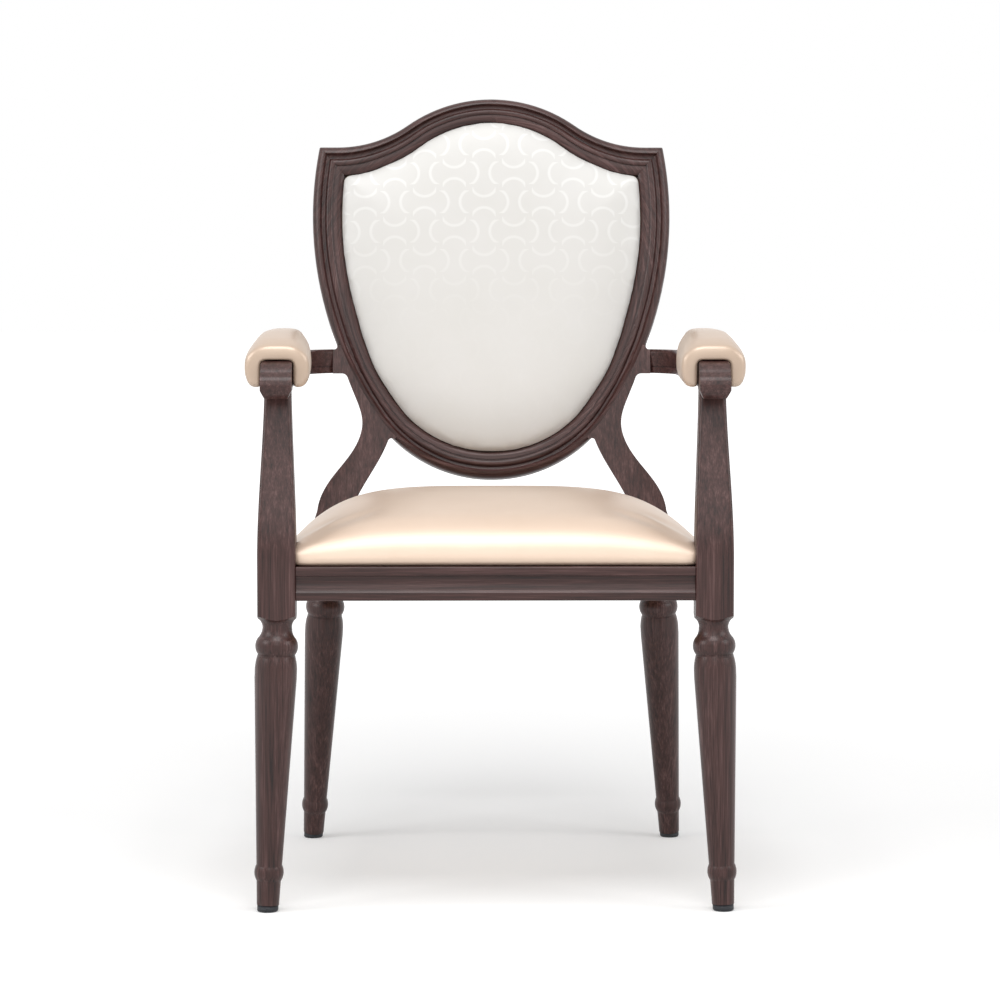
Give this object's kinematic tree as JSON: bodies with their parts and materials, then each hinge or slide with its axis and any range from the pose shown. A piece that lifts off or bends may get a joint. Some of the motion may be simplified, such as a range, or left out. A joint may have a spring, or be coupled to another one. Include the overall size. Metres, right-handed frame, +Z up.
{
  "type": "shield-back armchair",
  "caption": "Shield-back dining armchair: turned, tapered legs and scrolled arms in wood-look aluminium, with an upholstered seat, back and arm pads.",
  "frame": {"origin": "on the floor, at the middle of the chair from side to side and from front to back", "axes": "+Z up, -Y the way the sitter faces, +X to the right as seen from the front"},
  "size_m": [0.59, 0.5936, 0.9778],
  "materials": {
    "frame_finish": "dark walnut wood-grain coating, satin",
    "upholstery": "champagne pearl leather cloth, soft satin",
    "plywood": "raw plywood",
    "foam": "open-cell foam",
    "glides": "moulded, matte",
    "screws": "zinc plated"
  },
  "bodies": {
    "root": {"arm_left": "frame_finish", "arm_pad_board_left": "plywood", "arm_pad_board_right": "plywood", "arm_pad_left": "upholstery", "arm_pad_right": "upholstery", "arm_pad_screws": "screws", "arm_post_left": "frame_finish", "arm_post_right": "frame_finish", "arm_right": "frame_finish", "back_board": "plywood", "back_cover": "upholstery", "back_foam": "foam", "back_post_left": "frame_finish", "back_post_right": "frame_finish", "back_screws": "screws", "corner_bracket_front_left": "frame_finish", "corner_bracket_front_right": "frame_finish", "corner_bracket_rear_left": "frame_finish", "corner_bracket_rear_right": "frame_finish", "foot_glide_front_left": "glides", "foot_glide_front_right": "glides", "foot_glide_rear_left": "glides", "foot_glide_rear_right": "glides", "front_leg_left": "frame_finish", "front_leg_right": "frame_finish", "front_rail": "frame_finish", "leg_plugs": "glides", "rear_board": "plywood", "rear_cover": "upholstery", "rear_leg_left": "frame_finish", "rear_leg_right": "frame_finish", "rear_rail": "frame_finish", "seat_board": "plywood", "seat_cover": "upholstery", "seat_foam": "foam", "seat_screws": "screws", "shield_crest": "frame_finish", "shield_hoop": "frame_finish", "side_rail_left": "frame_finish", "side_rail_right": "frame_finish"}
  },
  "joints": []
}
